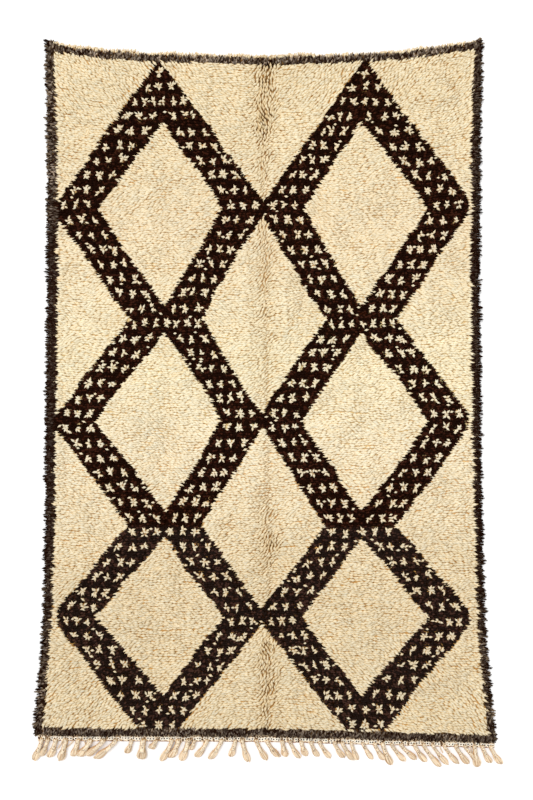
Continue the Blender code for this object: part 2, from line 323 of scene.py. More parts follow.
def right_edge(y):
    return read_at(LONG_SIDES, y, 2) + read_at(WAVERS[RIGHT_EDGE], y)


def plain_edge(x):
    return read_at(PLAIN_END, x) + read_at(WAVERS[PLAIN_EDGE], x)


def fringed_edge(x):
    return read_at(FRINGED_END, x)


def on_cloth(u, v):
    """Places on the cloth, from shares of its width and length."""
    rough_y = FRINGED_END[-1][1] + (PLAIN_END[-1][1] - FRINGED_END[-1][1]) * v
    x = left_edge(rough_y) + (right_edge(rough_y) - left_edge(rough_y)) * u
    y = fringed_edge(x) + (plain_edge(x) - fringed_edge(x)) * v
    return x, y


def patches(x, y, span, layer):
    """Smooth noise from -1 to 1 whose patches are about a span wide."""
    cells = NOISE_CELLS
    lattice = np.random.default_rng(layer).uniform(-1.0, 1.0, (cells, cells))
    column, row = np.floor(x / span), np.floor(y / span)
    across, up = x / span - column, y / span - row
    across = across * across * (3 - 2 * across)
    up = up * up * (3 - 2 * up)
    left, low = column.astype(int) % cells, row.astype(int) % cells
    right, high = (left + 1) % cells, (low + 1) % cells
    bottom = lattice[low, left] * (1 - across) + lattice[low, right] * across
    top = lattice[high, left] * (1 - across) + lattice[high, right] * across
    return bottom * (1 - up) + top * up


def smooth(share):
    share = np.clip(share, 0.0, 1.0)
    return share * share * (3 - 2 * share)


# ---------------------------------------------------------------- reading the chart


def chain_edge(corners, y):
    """A side of a chain or diamond at some heights, with a hand weaver's unevenness."""
    return read_at(corners, y) + SIDE_WAVER * patches(y, y + corners[1][1], SIDE_WAVER_SPAN, SIDE_LAYER)


def knot_row(x, y):
    """How many rows of knots lie below a place."""
    low = fringed_edge(x)
    return (y - low) / (plain_edge(x) - low) * KNOT_ROWS


def border_knots(x, y):
    border = x < left_edge(y) + read_at(BORDER_WIDTHS, y, 1)
    border |= x > right_edge(y) - read_at(BORDER_WIDTHS, y, 2)
    border |= y > plain_edge(x) - BORDER_PLAIN
    border |= y < fringed_edge(x) + BORDER_FRINGED
    return border


def in_diamonds(chain, x, y):
    """Which knots lie in a chain's plain diamonds."""
    plain = np.zeros(x.shape, bool)
    for left_side, right_side in DIAMONDS[chain]:
        within = (y > left_side[0][0]) & (y < left_side[-1][0])
        plain |= within & (x > chain_edge(left_side, y)) & (x < chain_edge(right_side, y))
    return plain


def inner_sides(chain, row_y, row_left, row_right):
    """Where rows of spots end beside a diamond, and which of them part round one."""
    parted = np.zeros(row_y.shape, bool)
    for left_side, right_side in DIAMONDS[chain]:
        beside = row_y > left_side[0][0] - DIAMOND_REACH
        beside &= row_y < left_side[-1][0] + DIAMOND_REACH
        parted |= beside
        row_left = np.where(beside, chain_edge(left_side, row_y), row_left)
        row_right = np.where(beside, chain_edge(right_side, row_y), row_right)
    return row_left, row_right, parted


def spot_cells(x, y, low, high, parted):
    """The spots' cells across a band: their width, each knot's cell, and if it ends the row."""
    pitch = read_at(SPOT_PITCHES, y)
    cells = np.where(parted, SPOTS_ACROSS, np.maximum(np.round((high - low) / pitch), 1))
    width = np.maximum(high - low, NEAR_ZERO) / cells
    cell = np.clip(np.floor((x - low) / width), 0, cells - 1)
    return width, cell, (cell == 0) | (cell == cells - 1)


def spot_forms(spot_row, index, rise, chance):
    """Half the width of each knot's spot in its row, and how far the spot strays."""
    own = (ROW_COUNT, ROW_CELLS)
    sizes = chance.uniform(1 - SPOT_SPREAD, 1 + SPOT_SPREAD, own)[spot_row, index]
    shifts = chance.uniform(-SPOT_SHIFT, SPOT_SHIFT, own)[spot_row, index]
    shape = chance.integers(0, len(SPOT_SHAPES), own)[spot_row, index]
    rows = len(SPOT_SHAPES[0])
    level = np.clip(np.round(rise + rows // 2), 0, rows - 1).astype(int)
    return SPOT_HALF_WIDTH * sizes * np.array(SPOT_SHAPES)[shape, level], shifts


def chain_spots(chain, x, y, row, chance):
    """Which knots a chain dyes, which of them are spots, and where they lie in their spot."""
    sides = CHAIN_SIDES[chain]
    left, right = (chain_edge(side, y) for side in sides)
    inside = (x > left) & (x < right)
    inside &= (y > sides[0][0][0]) & (y < sides[0][-1][0])
    heights = np.linspace(*SPOT_ROW_ENDS, ROW_COUNT)
    spot_row = np.round(np.interp(y, heights, np.arange(ROW_COUNT))).astype(int)
    row_y = heights[spot_row]
    rise = row - np.floor(knot_row(x, row_y)) - 0.5
    row_left, row_right = (chain_edge(side, row_y) for side in sides)
    in_left, in_right, parted = inner_sides(chain, row_y, row_left, row_right)
    on_right = parted & (x > (in_left + in_right) / 2)
    low = np.where(on_right, in_right + INNER_MARGIN, row_left + OUTER_MARGIN)
    high = np.where(parted & ~on_right, in_left - INNER_MARGIN, row_right - OUTER_MARGIN)
    width, cell, at_end = spot_cells(x, y, low, high, parted)
    shift = np.where(on_right, right - row_right, left - row_left) * parted
    slant = np.where(at_end, SPOT_SHEAR[0], SPOT_SHEAR[1]) * shift
    index = cell.astype(int) + np.where(on_right, ROW_CELLS // 2, 0)
    half_width, shifts = spot_forms(spot_row, index, rise, chance)
    across = ((x - slant - low) / width - cell - 0.5 - shifts) / half_width
    spot = (np.abs(across) < 1) & (np.abs(rise) < len(SPOT_SHAPES[0]) / 2)
    spot &= (x > left + OUTER_MARGIN / 2) & (x < right - OUTER_MARGIN / 2)
    return inside & ~in_diamonds(chain, x, y), spot, across, rise


def chart(x, y, row, stray_share):
    """The yarn that each knot takes, which lie in the lattice, and how spots' strands splay."""
    chance = np.random.default_rng(CHART_SEED)
    kinds = np.full(x.shape, CREAM)
    splay = np.zeros((len(x), 2))
    lattice = np.zeros(x.shape, bool)
    for chain in range(len(CHAIN_SIDES)):
        dyed, spot, across, rise = chain_spots(chain, x, y, row, chance)
        stray = chance.uniform(0, 1, len(x)) < stray_share
        kinds[dyed] = LATTICE
        kinds[dyed & (spot ^ stray)] = CREAM
        splay = np.where((dyed & spot)[:, None], np.stack((across, rise * SPOT_RAISE), axis=1), splay)
        lattice |= dyed
    border = border_knots(x, y)
    kinds[border] = BORDER
    between = x > left_edge(y) + read_at(BORDER_WIDTHS, y, 1)
    between &= x < right_edge(y) - read_at(BORDER_WIDTHS, y, 2)
    kinds[between & (y > plain_edge(x) - PLAIN_SELVAGE)] = CREAM
    splay[border] = 0.0
    return kinds, lattice, splay


def border_paleness(x, y):
    """How much undyed wool the borders' yarn holds."""
    column = np.where(x < 0, read_at(BORDER_PALENESS, y, 1), read_at(BORDER_PALENESS, y, 2))
    column = np.where(y > plain_edge(x) - BORDER_PLAIN, PLAIN_PALENESS, column)
    return np.where(y < fringed_edge(x) + BORDER_FRINGED, FRINGED_PALENESS, column)


def yarn_colours(kinds, x, y, chance):
    """The dyed colour of each tuft, with some painted shade at the parting and towards the ends."""
    count = len(kinds)
    colours = np.tile(CREAM_YARN, (count, 1))
    espresso = np.array(ESPRESSO_YARN)
    charcoal = np.array(CHARCOAL_YARN)
    below = smooth((DYE_CHANGE_Y - y) / DYE_CHANGE_SPAN + 0.5)[:, None]
    dyed = espresso * (1 - below) + charcoal * below
    colours = np.where((kinds == LATTICE)[:, None], dyed, colours)
    fleck = chance.uniform(0, 1, count) < FLECK_SHARE
    colours = np.where(((kinds == LATTICE) & fleck)[:, None], colours * FLECK_SHADE, colours)
    pale = border_paleness(x, y) * (1 + PALE_SPREAD * patches(x, y, PALE_SPAN, PALE_LAYER))
    pale = (pale * PALE_BOOST * chance.uniform(0, 1, count) ** PALE_POWER)[:, None]
    border = np.array(BORDER_PALE_YARN) * pale + np.array(BORDER_YARN) * (1 - np.minimum(pale, 1))
    colours = np.where((kinds == BORDER)[:, None], border, colours)
    tint = 1 + TINT_OWN * chance.standard_normal(count)
    tint = tint + TINT_SPREAD * patches(x, y, TINT_SPAN, TINT_LAYER)
    warm = 1 + WARM_OWN * chance.standard_normal(count)
    tint = np.stack((tint, tint * (1 + (warm - 1) * WARM_GREEN), tint * warm), axis=1)
    tint = tint * np.stack([read_at(CREAM_TONE_AND_PAINTED_SHADE, y, column) for column in (1, 2, 3)], axis=1)
    # Along the parting the cream darkens: partly wear, partly painted shade.
    worn = parting_wear(x, y) * chance.uniform(0, 1, count)
    tint = tint * (1 - WEAR_AND_PAINTED_SHADE * (worn * (kinds == CREAM))[:, None])
    return np.clip(colours * tint, 0.0, PALEST_YARN)


# ---------------------------------------------------------------- meshes


def joined_mesh(name, points, faces, colours, uv):
    """A mesh from arrays: points, faces of three, a colour a point, a map place a point."""
    mesh = bpy.data.meshes.new(name)
    mesh.vertices.add(len(points))
    mesh.vertices.foreach_set("co", points.astype(np.float32).ravel())
    corners = faces.ravel().astype(np.int32)
    mesh.loops.add(len(corners))
    mesh.loops.foreach_set("vertex_index", corners)
    mesh.polygons.add(len(faces))
    mesh.polygons.foreach_set("loop_start", np.arange(0, len(corners), 3, dtype=np.int32))
    mesh.update(calc_edges=True)
    dye = mesh.color_attributes.new("yarn", "FLOAT_COLOR", "POINT")
    rgba = np.concatenate((colours, np.ones((len(colours), 1))), axis=1)
    dye.data.foreach_set("color", rgba.astype(np.float32).ravel())
    layer = mesh.uv_layers.new(name="OFBake")
    layer.uv.foreach_set("vector", uv[corners].astype(np.float32).ravel())
    mesh.shade_smooth()
    mesh.validate()
    return mesh


def add_piece(name, mesh, material, nodes):
    piece = bpy.data.objects.new(name, mesh)
    bpy.context.scene.collection.objects.link(piece)
    mesh.materials.append(material)
    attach(piece, "root")
    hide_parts(*nodes)
    return piece


MAP_MARGIN = 0.1  # round a small shape's part of the map


class Shapes:
    """Small closed shapes gathered for one joined mesh, each with a cell of the map."""

    def __init__(self):
        self.points, self.faces, self.colours, self.places = [], [], [], []
        self.total = 0

    def add(self, points, faces, colours, places):
        self.points.append(points)
        self.faces.append(faces + self.total)
        self.colours.append(np.broadcast_to(colours, (len(points), 3)))
        self.places.append(places)
        self.total += len(points)

    def mesh(self, name):
        grid = math.ceil(math.sqrt(len(self.places)))
        cells = [
            (np.array((number % grid, number // grid)) + places) / grid
            for number, places in enumerate(self.places)
        ]
        return joined_mesh(
            name,
            np.concatenate(self.points),
            np.concatenate(self.faces),
            np.clip(np.concatenate(self.colours), 0, PALEST_STRAND),
            np.concatenate(cells),
        )


def tube(path, radii, sides, flat=1.0, axis=None):
    """A closed tube along a path: points, faces, map places, which point of the path each is."""
    count = len(path)
    along = np.gradient(path, axis=0)
    along /= np.linalg.norm(along, axis=1)[:, None]
    level = np.cross(along, (0.0, 0.0, 1.0)) if axis is None else np.tile(axis, (count, 1))
    level /= np.linalg.norm(level, axis=1)[:, None]
    rising = np.cross(level, along)
    angle = math.tau * np.arange(sides) / sides
    offset = level[:, None] * np.cos(angle)[None, :, None]
    offset = offset + flat * rising[:, None] * np.sin(angle)[None, :, None]
    rings = path[:, None] + offset * radii[:, None, None]
    points = np.concatenate((rings.reshape(-1, 3), path[:1], path[-1:]))
    here = np.arange(count * sides).reshape(count, sides)
    beside = np.roll(here, -1, axis=1)
    low, high, low_next, high_next = here[:-1], here[1:], beside[:-1], beside[1:]
    walls = np.concatenate(
        (np.stack((low, high_next, low_next), -1), np.stack((low, high, high_next), -1))
    ).reshape(-1, 3)
    start, end = count * sides, count * sides + 1
    first = np.stack((np.full(sides, start), here[0], beside[0]), 1)
    last = np.stack((np.full(sides, end), beside[-1], here[-1]), 1)
    faces = np.concatenate((walls, first, last))
    up, across = (np.linspace(MAP_MARGIN, 1 - MAP_MARGIN, number) for number in (count, sides))
    up, across = np.meshgrid(up, across, indexing="ij")
    places = np.stack((across.ravel(), up.ravel()), axis=1)
    places = np.concatenate((places, ((0.5, 0.05), (0.5, 0.95))))
    which = np.concatenate((np.repeat(np.arange(count), sides), (0, count - 1)))
    return points, faces, places, which


TUFT_SIDES = 4
CALM_RING, CALM_ROOT = 0.85, 0.35  # how far lighter their painted shade is where the pile is even
TUFT_FACES = (
    (0, 2, 1), (0, 3, 2), (0, 4, 3), (0, 1, 4), (5, 1, 2), (5, 2, 3), (5, 3, 4), (5, 4, 1),
)
TUFT_MAP = ((0.5, 0.1), (0.2, 0.5), (0.4, 0.5), (0.6, 0.5), (0.8, 0.5), (0.5, 0.9))


def tuft_mesh(name, roots, rings, tips, halves, turns, colours, calm):
    """Tufts as bent spindles: a root, a ring of four points longer one way, a tip."""
    count = len(roots)
    points = np.zeros((count, TUFT_SIDES + 2, 3))
    points[:, 0] = roots
    points[:, -1] = tips
    for side in range(TUFT_SIDES):
        angle = turns + side * math.tau / TUFT_SIDES
        reach = halves[:, side % 2]
        drop = -TUFT_DROOP if side % 2 == 1 else 0.0
        offset = (reach * np.cos(angle), reach * np.sin(angle), np.full(count, drop))
        points[:, 1 + side] = rings + np.stack(offset, axis=1)
    # The root and ring are painted shade from the tufts around them; the tip is lightest.
    root_shade, ring_shade, tip_shade = STRAND_PAINTED_SHADES
    shades = np.array((root_shade, *[ring_shade] * TUFT_SIDES, tip_shade))
    dyes_with_painted_shade = colours[:, None, :] * shades[None]
    dyes_with_painted_shade[:, 1:-1] *= 1 + CALM_RING * calm[:, None, None] * (1 / np.array(ring_shade) - 1)
    dyes_with_painted_shade[:, 0] *= 1 + CALM_ROOT * calm[:, None] * (1 / np.array(root_shade) - 1)
    dyes_with_painted_shade = np.clip(dyes_with_painted_shade, 0, PALEST_STRAND)
    faces = np.array(TUFT_FACES)[None] + (TUFT_SIDES + 2) * np.arange(count)[:, None, None]
    grid = math.ceil(math.sqrt(count))
    cell = np.stack((np.arange(count) % grid, np.arange(count) // grid), axis=1)
    uv = (cell[:, None, :] + np.array(TUFT_MAP)[None]) / grid
    return joined_mesh(
        name, points.reshape(-1, 3), faces.reshape(-1, 3), dyes_with_painted_shade.reshape(-1, 3), uv.reshape(-1, 2)
    )


# ---------------------------------------------------------------- the pile


def solid_tree(node):
    """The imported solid's faces, for finding its top."""
    corners = [vertex.co for vertex in node.data.vertices]
    return BVHTree.FromPolygons(corners, [face.vertices for face in node.data.polygons])


def pile_tops(x, y, tree):
    """Height of the pile's top over each place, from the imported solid."""
    tops = np.full(len(x), SHOULDER)
    down = Vector((0, 0, -1))
    for index, (px, py) in enumerate(zip(x.tolist(), y.tolist())):
        hit = tree.ray_cast(Vector((px, py, RAY_FROM)), down)[0]
        if hit is not None:
            tops[index] = hit.z
    return tops


def knot_places(chance):
    """Where the knots sit on the ground, which row each is in, and which are the spare ones."""
    u = (np.arange(KNOT_COLUMNS) + 0.5) / KNOT_COLUMNS
    v = (np.arange(KNOT_ROWS) + 0.5) / KNOT_ROWS
    u, v = np.meshgrid(u, v)
    u = u + ROW_SHIFT * chance.uniform(-1, 1, (KNOT_ROWS, 1)) / KNOT_COLUMNS
    x, y = on_cloth(u.ravel(), v.ravel())
    row = v.ravel() * KNOT_ROWS
    y = y + ROW_WAVER * patches(x, y, ROW_WAVER_SPAN, ROW_LAYER)
    x = x + chance.uniform(-KNOT_JITTER[0], KNOT_JITTER[0], len(x))
    y = y + chance.uniform(-KNOT_JITTER[1], KNOT_JITTER[1], len(y))
    number = np.arange(KNOT_ROWS * KNOT_COLUMNS)
    spare = (number // KNOT_COLUMNS + number) % 2 == 1
    return x, y, row, spare


def parting_wear(x, y):
    """How worn the pile is, from 0 to 1, where the rug lay folded."""
    waver = PARTING_WAVER * patches(x, y, PARTING_WAVER_SPAN, PARTING_LAYER)
    off_parting = (x - read_at(PARTING, y) - waver) / PARTING_HALF_WIDTH
    patchy = WEAR_MEAN + WEAR_SPREAD * patches(x, y, WEAR_SPAN, WEAR_LAYER)
    wear = read_at(PARTING_WEAR, y) * patchy
    return np.clip(wear * np.exp(-(off_parting**2)), 0, 1)


def evenness(y):
    """How evenly the pile lies, from 0 to 1."""
    return 1 - np.minimum(read_at(ROUGHNESS, y), 1.0)


def shared_lean(x, y):
    """The lean that knots share: in patches, outwards and off the breaks."""
    lean_x = LEAN_PATCH * patches(x, y, LEAN_PATCH_SPAN, LEAN_X_LAYER)
    lean_y = LEAN_PATCH * patches(x, y, LEAN_PATCH_SPAN, LEAN_Y_LAYER)
    away = np.hypot(x, y)
    outwards = LEAN_OUT * smooth(away / LEAN_OUT_REACH) / np.maximum(away, NEAR_ZERO)
    lean_x += outwards * x
    lean_y += outwards * y
    waver = BREAK_WAVER * patches(x, y, BREAK_WAVER_SPAN, BREAK_LAYER)
    for break_x, break_y, half_length, spread in BREAKS:
        along = (x - break_x) / half_length
        across = (y - break_y - waver) / BREAK_HALF_WIDTH
        lean_y += spread * np.sign(across) * np.exp(-(along**4) - across**2)
    return lean_x, lean_y


def rim_lean(x, y):
    """How far knots lean out over each side, and how near they are to a long side."""
    left, right = x - left_edge(y), right_edge(y) - x
    lean_x = LEAN_RIM * (smooth(1 - right / RIM_REACH) - smooth(1 - left / RIM_REACH))
    lean_y = LEAN_PLAIN_RIM * smooth(1 - (plain_edge(x) - y) / RIM_REACH)
    lean_y -= LEAN_FRINGED_RIM * smooth(1 - (y - fringed_edge(x)) / RIM_REACH)
    return lean_x, lean_y, smooth(1 - np.minimum(left, right) / RIM_REACH)


def rim_spikes(wool):
    """The outermost knot of each row, its strands in one thick spike out over the side."""
    chance = np.random.default_rng(RIM_SEED)
    v = np.repeat((np.arange(KNOT_ROWS) + 0.5) / KNOT_ROWS, 2)
    side = np.tile((0.0, 1.0), KNOT_ROWS)
    x, y = on_cloth(side, v)
    outwards = side * 2 - 1
    kinds = np.full(len(x), BORDER)
    colours = yarn_colours(kinds, x, y, chance)
    reach = chance.uniform(*SPIKE_REACH, len(x))
    heading = SPIKE_TURN * chance.standard_normal(len(x)) + SPIKE_OUTWARDS * y
    x, y, outwards, reach, heading = (
        np.repeat(values, SPIKE_STRANDS) for values in (x, y, outwards, reach, heading)
    )
    colours = np.repeat(colours, SPIKE_STRANDS, axis=0)
    count = len(x)
    spread = chance.uniform(-1, 1, count)
    x = x - outwards * chance.uniform(*SPIKE_ROOTS, count)
    y = y + SPIKE_HALF_WIDTH * spread
    reach = reach * chance.uniform(*SPIKE_LENGTHS, count) * (1 - SPIKE_TAPER * spread**2)
    heights = chance.uniform(*SPIKE_HEIGHTS, count)
    roots = np.stack((x, y, np.full(count, ROOT_Z)), axis=1)
    tips = np.stack(
        (x + outwards * reach, y + reach * heading + SPIKE_FAN * spread, heights * SPIKE_DROOP), 1
    )
    rings = roots + (tips - roots) * SPIKE_RING
    rings[:, 2] = heights
    halves = chance.uniform(*SPIKE_RADIUS, (count, 2))
    turns = chance.uniform(0, math.tau, count)
    mesh = tuft_mesh("pile_rim", roots, rings, tips, halves, turns, colours, np.zeros(count))
    return add_piece("pile_rim", mesh, wool, ["rug"])


def tied_knots(chance):
    """The knots that are tied, with what the chart says of each."""
    x, y, row, spare = knot_places(chance)
    shared_x, shared_y = shared_lean(x, y)
    kinds, lattice, splay = chart(x + CHART_LEAN * shared_x, y + CHART_LEAN * shared_y, row, STRAY_KNOTS)
    edging = (kinds == BORDER) | (y > plain_edge(x) - BORDER_PLAIN)
    tied = lattice | edging | ~spare
    knots = SimpleNamespace(x=x[tied], y=y[tied], shared_x=shared_x[tied], shared_y=shared_y[tied])
    knots.kinds, knots.lattice, knots.splay = kinds[tied], lattice[tied], splay[tied]
    knots.edging = edging[tied]
    knots.star = knots.lattice & (knots.kinds == CREAM)
    knots.worn = parting_wear(knots.x, knots.y)
    knots.count = len(knots.x)
    return knots


def comb_heading(knots, steady, chance):
    """Which way each tuft was combed."""
    x, y = knots.x, knots.y
    heading = COMB_SWING * patches(x, y, COMB_SWING_SPAN, COMB_LAYER)
    heading = (heading + COMB_OWN * chance.standard_normal(knots.count)) * steady
    near_end = smooth((np.abs(y) - END_SWING_FROM) / END_SWING_REACH) * np.sign(y)
    swing = np.where(y < 0, END_SWINGS[0], END_SWINGS[1]) * near_end
    heading = heading + swing * np.clip(x / END_SWING_ACROSS, -1, 1)
    return heading + math.pi / 2 * smooth(PARTING_TURN * knots.worn)


def tuft_turns(knots, lie_x, lie_y, chance):
    """Which way each tuft is long: as it lies, as a star's ray, or upright in the end bands."""
    x, y, splay = knots.x, knots.y, knots.splay
    rays = np.arctan2(splay[:, 1], splay[:, 0]) + STAR_OWN * chance.standard_normal(knots.count)
    turns = np.where(knots.star, rays, np.arctan2(lie_y, lie_x))
    upright = knots.edging & (np.abs(y - 0.5 * (plain_edge(x) + fringed_edge(x))) > BAND_FROM)
    own = BAND_TURN_OWN * chance.standard_normal(knots.count)
    return np.where(upright, BAND_TURN + own, turns)


def tuft_leans(knots, chance):
    """How far each tuft's tip leans, and its turn."""
    rim_x, rim_y, near_side = rim_lean(knots.x, knots.y)
    calm = 1 - SIDE_CALM * near_side
    steady = 1 - LATTICE_CALM * knots.lattice
    heading = comb_heading(knots, steady, chance)
    comb = chance.uniform(*COMB, knots.count) * chance.choice((-1.0, 1.0), knots.count)
    lie_x = comb * np.cos(heading) + rim_x
    lie_y = comb * np.sin(heading) * calm + rim_y
    turns = tuft_turns(knots, lie_x, lie_y, chance)
    lie_x = lie_x + SPOT_SPLAY * knots.splay[:, 0]
    lie_y = lie_y + SPOT_SPLAY * knots.splay[:, 1]
    own = LEAN_OWN * np.sqrt(chance.uniform(0, 1, knots.count)) * steady
    way = chance.uniform(0, math.tau, knots.count)
    lean_x = lie_x + knots.shared_x * calm + own * np.cos(way)
    lean_y = lie_y + (knots.shared_y + own * np.sin(way)) * calm
    return lean_x, lean_y, turns


def tuft_points(knots, lean_x, lean_y, tree, chance):
    """Each tuft's root, its thickest place and its tip."""
    x, y, count = knots.x, knots.y, knots.count
    tops = pile_tops(x, y, tree) - WEAR_DROP * knots.worn * chance.uniform(0, 1, count)
    spread = TIP_SPREAD * read_at(ROUGHNESS, y)
    tops = tops + spread * chance.uniform(*TIP_RANGE, count) + SPOT_RISE * knots.star
    rim = np.minimum.reduce((x - left_edge(y), right_edge(y) - x, plain_edge(x) - y))
    low_tops = chance.uniform(*RIM_TIPS, count)
    tops = np.where(rim < RIM_KNOTS, np.minimum(tops, low_tops), tops)
    tops = np.maximum(tops, RIM_TIPS[0])
    roots = np.stack((x, y, np.full(count, ROOT_Z)), axis=1)
    tips = np.stack((x + lean_x, y + lean_y, tops), axis=1)
    share = chance.uniform(*RING_HEIGHT, count)
    lean_share = share**RING_BEND
    rings = roots + (tips - roots) * np.stack((lean_share, lean_share, share), axis=1)
    return roots, rings, tips


def tuft_halves(knots, turns, chance):
    """Half of each tuft's length and width where it is thickest."""
    halves = []
    for spans in (LONG_HALVES, WIDE_HALVES):
        sizes = [chance.uniform(*span, knots.count) for span in spans]
        size = np.where(knots.lattice, sizes[1], sizes[0])
        halves.append(np.where(knots.star, sizes[3], np.where(knots.edging, sizes[2], size)))
    upright = 1 + STAR_TALL * knots.star * np.abs(np.sin(turns))
    long_half = halves[0] * upright * (1 - PARTING_SHORT * knots.worn)
    return np.stack((long_half, halves[1] * (1 - PARTING_SLIM * knots.worn)), axis=1)


def pile_pieces(tree, cream_wool, dark_wool):
    """The pile, tuft by tuft, as cream and dark pieces."""
    chance = np.random.default_rng(TUFT_SEED)
    knots = tied_knots(chance)
    colours = yarn_colours(knots.kinds, knots.x, knots.y, chance)
    lean_x, lean_y, turns = tuft_leans(knots, chance)
    colours = np.where(knots.star[:, None], colours * SPOT_TINT, colours)
    roots, rings, tips = tuft_points(knots, lean_x, lean_y, tree, chance)
    halves = tuft_halves(knots, turns, chance)
    tufts = (roots, rings, tips, halves, turns, colours, evenness(knots.y))
    pieces = []
    for label, chosen, parts, wool in (
        ("pile_cream_", knots.kinds == CREAM, CREAM_PIECES, cream_wool),
        ("pile_dark_", knots.kinds != CREAM, DARK_PIECES, dark_wool),
    ):
        order = np.flatnonzero(chosen)
        order = order[np.argsort(knots.x[order], kind="stable")]
        for number, part in enumerate(np.array_split(order, parts)):
            name = label + str(number + 1)
            mesh = tuft_mesh(name, *(values[part] for values in tufts))
            pieces.append(add_piece(name, mesh, wool, ["rug"]))
    return pieces


# ---------------------------------------------------------------- the woven ground

GROUND_COLUMNS = 34
GROUND_ROWS = 52
GROUND_LOW, GROUND_HIGH = 0.4 * MM, 3.2 * MM
# Painted shade: the woven ground is dark, as the shade it lies in under the pile.
GROUND_PAINTED_SHADE_YARN = (0.50, 0.38, 0.24)
BED_SEED = 5
BED_COLUMNS, BED_ROWS = 206, 330
BED_INSET = 0.004  # from the cloth's edges, as a share of its size
BED_LOW = 3.4 * MM
BED_SHARE = 0.74  # how high the pile stands closed, as a share of its height
# Painted shade: the bed is darker and warmer than the tufts' yarn, as shade where it shows between them.
BED_PAINTED_SHADE = np.array((0.70, 0.44, 0.18))
# How light it is, its painted shade with it: y, share.
BED_SHADE_LIGHTNESS = ((-1.25, 1.10), (-0.60, 1.05), (-0.10, 1.35), (0.70, 1.35), (1.00, 1.05), (1.25, 1.0))
CALM_BED, BED_PALEST = 0.40, (0.74, 0.60, 0.40)  # how far lighter its painted shade is where the pile is even, and its palest
BED_RIM_DROP = 0.35
BED_WEAR_AND_PAINTED_SHADE = np.array((0.70, 0.70, 0.60))  # how much darker it is at the parting: partly wear, partly painted shade where the tufts part
BED_WEAR_DROP = 6 * MM  # and how much lower
BED_LUMPS = ((1.2 * MM, 0.022, 51), (1.3 * MM, 0.011, 52))  # rise, span, layer


def grid_ring(cell):
    """A grid's outer points in order, the long way round."""
    return np.concatenate((cell[0, :-1], cell[:-1, -1], cell[-1, :0:-1], cell[:0:-1, 0]))


def grid_faces(cell):
    a, b = cell[:-1, :-1].ravel(), cell[:-1, 1:].ravel()
    c, d = cell[1:, 1:].ravel(), cell[1:, :-1].ravel()
    return np.concatenate((np.stack((a, b, c), 1), np.stack((a, c, d), 1)))


def ground_mesh():
    """The woven ground: two faces and a rim."""
    u, v = np.meshgrid(np.linspace(0, 1, GROUND_COLUMNS), np.linspace(0, 1, GROUND_ROWS))
    x, y = on_cloth(u.ravel(), v.ravel())
    layers = [np.stack((x, y, np.full(len(x), z)), axis=1) for z in (GROUND_LOW, GROUND_HIGH)]
    cell = np.arange(GROUND_COLUMNS * GROUND_ROWS).reshape(GROUND_ROWS, GROUND_COLUMNS)
    top = grid_faces(cell) + len(x)
    under = grid_faces(cell)[:, ::-1]
    ring = grid_ring(cell)
    after = np.roll(ring, -1)
    wall = np.concatenate(
        (np.stack((ring, after, after + len(x)), 1), np.stack((ring, after + len(x), ring + len(x)), 1))
    )
    colours = np.broadcast_to(GROUND_PAINTED_SHADE_YARN, (2 * len(x), 3))
    uv = np.stack((u.ravel(), v.ravel()), axis=1)
    faces = np.concatenate((top, under, wall))
    return joined_mesh("ground", np.concatenate(layers), faces, colours, np.concatenate((uv, uv)))


def bed_lumps(x, y):
    return sum(rise * patches(x, y, span, layer) for rise, span, layer in BED_LUMPS)


def bed_colours(x, y, row):
    """The lower wool's colours, with painted shade from the tufts over it, lighter where the pile is even.
    """
    shared_x, shared_y = shared_lean(x, y)
    kinds, _, _ = chart(x + CHART_LEAN * shared_x, y + CHART_LEAN * shared_y, row, 0.0)
    colours = yarn_colours(kinds, x, y, np.random.default_rng(BED_SEED)) * BED_PAINTED_SHADE
    colours = colours * read_at(BED_SHADE_LIGHTNESS, y)[:, None]
    calm = CALM_BED * evenness(y)[:, None]
    colours = np.minimum(colours * (1 + calm * (1 / BED_PAINTED_SHADE - 1)), BED_PALEST)
    return colours * (1 - BED_WEAR_AND_PAINTED_SHADE * parting_wear(x, y)[:, None])


def bed_mesh(tree):
    """The lower pile, where the strands stand close, knot by knot in the chart's yarns, with painted
    shade.
    """
    across, up = (np.linspace(BED_INSET, 1 - BED_INSET, count) for count in (BED_COLUMNS, BED_ROWS))
    u, v = np.meshgrid(across, up)
    row = v.ravel() * KNOT_ROWS
    x, y = on_cloth(u.ravel(), v.ravel())
    cell = np.arange(BED_ROWS * BED_COLUMNS).reshape(BED_ROWS, BED_COLUMNS)
    ring = grid_ring(cell)
    tops = BED_LOW + (pile_tops(x, y, tree) - BED_LOW) * BED_SHARE
    tops += bed_lumps(x, y) - BED_WEAR_DROP * parting_wear(x, y)
    tops[ring] = BED_LOW + (tops[ring] - BED_LOW) * BED_RIM_DROP
    colours = bed_colours(x, y, row)
    under = np.stack((x[ring], y[ring], np.full(len(ring), BED_LOW)), axis=1)
    points = np.concatenate((np.stack((x, y, tops), axis=1), under, ((0.0, 0.0, BED_LOW),)))
    low_ring = len(x) + np.arange(len(ring))
    after, low_after = np.roll(ring, -1), np.roll(low_ring, -1)
    middle = np.full(len(ring), len(points) - 1)
    faces = np.concatenate(
        (
            grid_faces(cell),
            np.stack((low_ring, low_after, after), 1),
            np.stack((low_ring, after, ring), 1),
            np.stack((low_after, low_ring, middle), 1),
        )
    )
    colours = np.concatenate((colours, colours[ring], colours[:1]))
    uv = np.stack((u.ravel(), v.ravel()), axis=1)
    uv = np.concatenate((uv, uv[ring], ((0.5, 0.5),)))
    return joined_mesh("pile_bed", points, faces, colours, uv)


# ---------------------------------------------------------------- woven end and fringe

